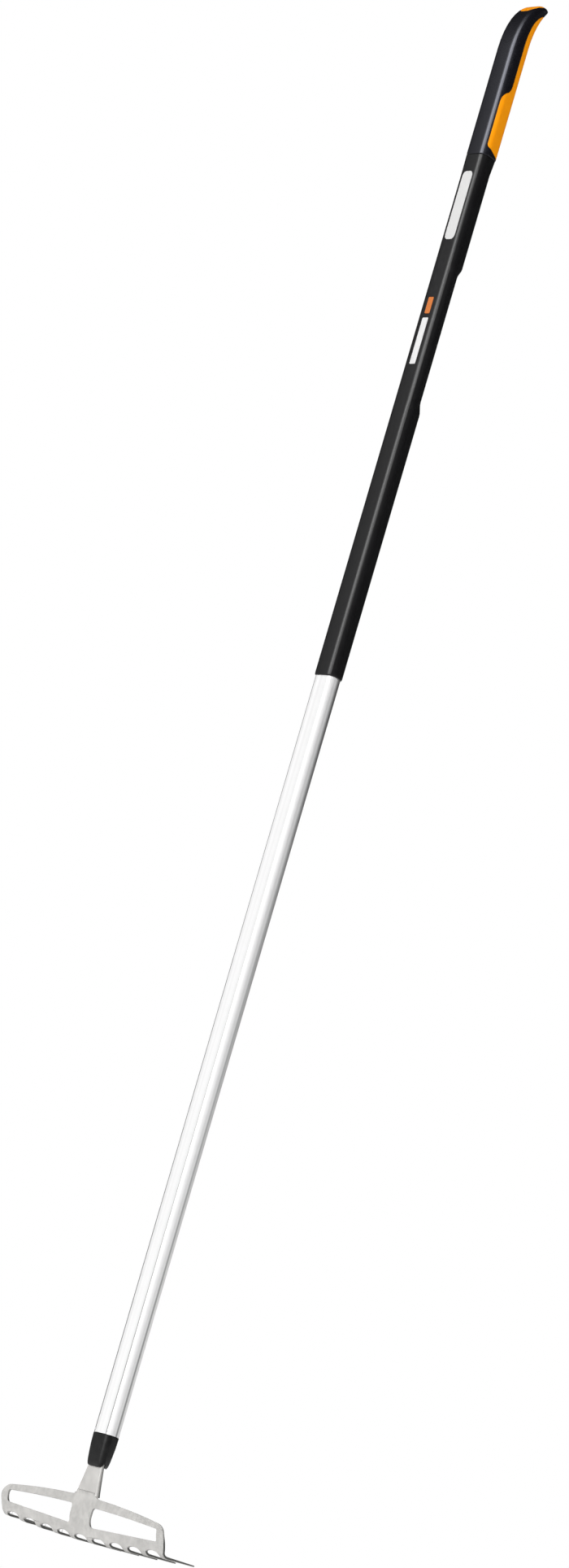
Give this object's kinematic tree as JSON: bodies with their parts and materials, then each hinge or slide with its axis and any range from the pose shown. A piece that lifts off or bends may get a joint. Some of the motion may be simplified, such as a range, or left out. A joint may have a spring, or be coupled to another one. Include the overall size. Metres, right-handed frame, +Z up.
{
  "type": "bow rake",
  "caption": "Long-handled garden rake: stamped steel head with curved teeth and long slots, folded neck, black ferrule, aluminium shaft, and a hooked soft hand grip.",
  "frame": {"origin": "centre of the bounding box's footprint, level with the lowest teeth", "axes": "+Z up along the shaft from the teeth to the hooked grip; X across the head, which is mirror-symmetric in X; the teeth and the hook point to +Y, and the plate's outer face and the handle's flat side face -Y"},
  "size_m": [0.335, 0.0604, 1.7959],
  "materials": {
    "coated_steel": "satin light-grey coating",
    "ferrule_plastic": "fine-textured black moulding",
    "core_plastic": "glass-filled black moulding",
    "rivet_steel": "plain zinc-plated steel",
    "tube_aluminium": "satin anodised, drawn lengthwise",
    "sleeve_plastic": "satin black soft-touch",
    "white_plastic": "smooth white",
    "white_print": "flat white print",
    "orange_print": "flat orange print",
    "grip_plastic": "satin black",
    "orange_soft": "soft orange elastomer"
  },
  "bodies": {
    "root": {"rake_head": "coated_steel", "ferrule": "ferrule_plastic", "spigot_core": "core_plastic", "tang_rivet_lower": "rivet_steel", "tang_rivet_upper": "rivet_steel", "tube_rivet_left": "rivet_steel", "tube_rivet_right": "rivet_steel", "shaft_tube": "tube_aluminium", "grip_core": "core_plastic", "core_pin": "rivet_steel", "grip_sleeve": "sleeve_plastic", "name_plate": "white_plastic", "mark_stripe_white": "white_print", "mark_stripe_orange": "orange_print", "top_grip": "grip_plastic", "orange_pad": "orange_soft", "crown_inlay": "orange_soft"}
  },
  "joints": []
}
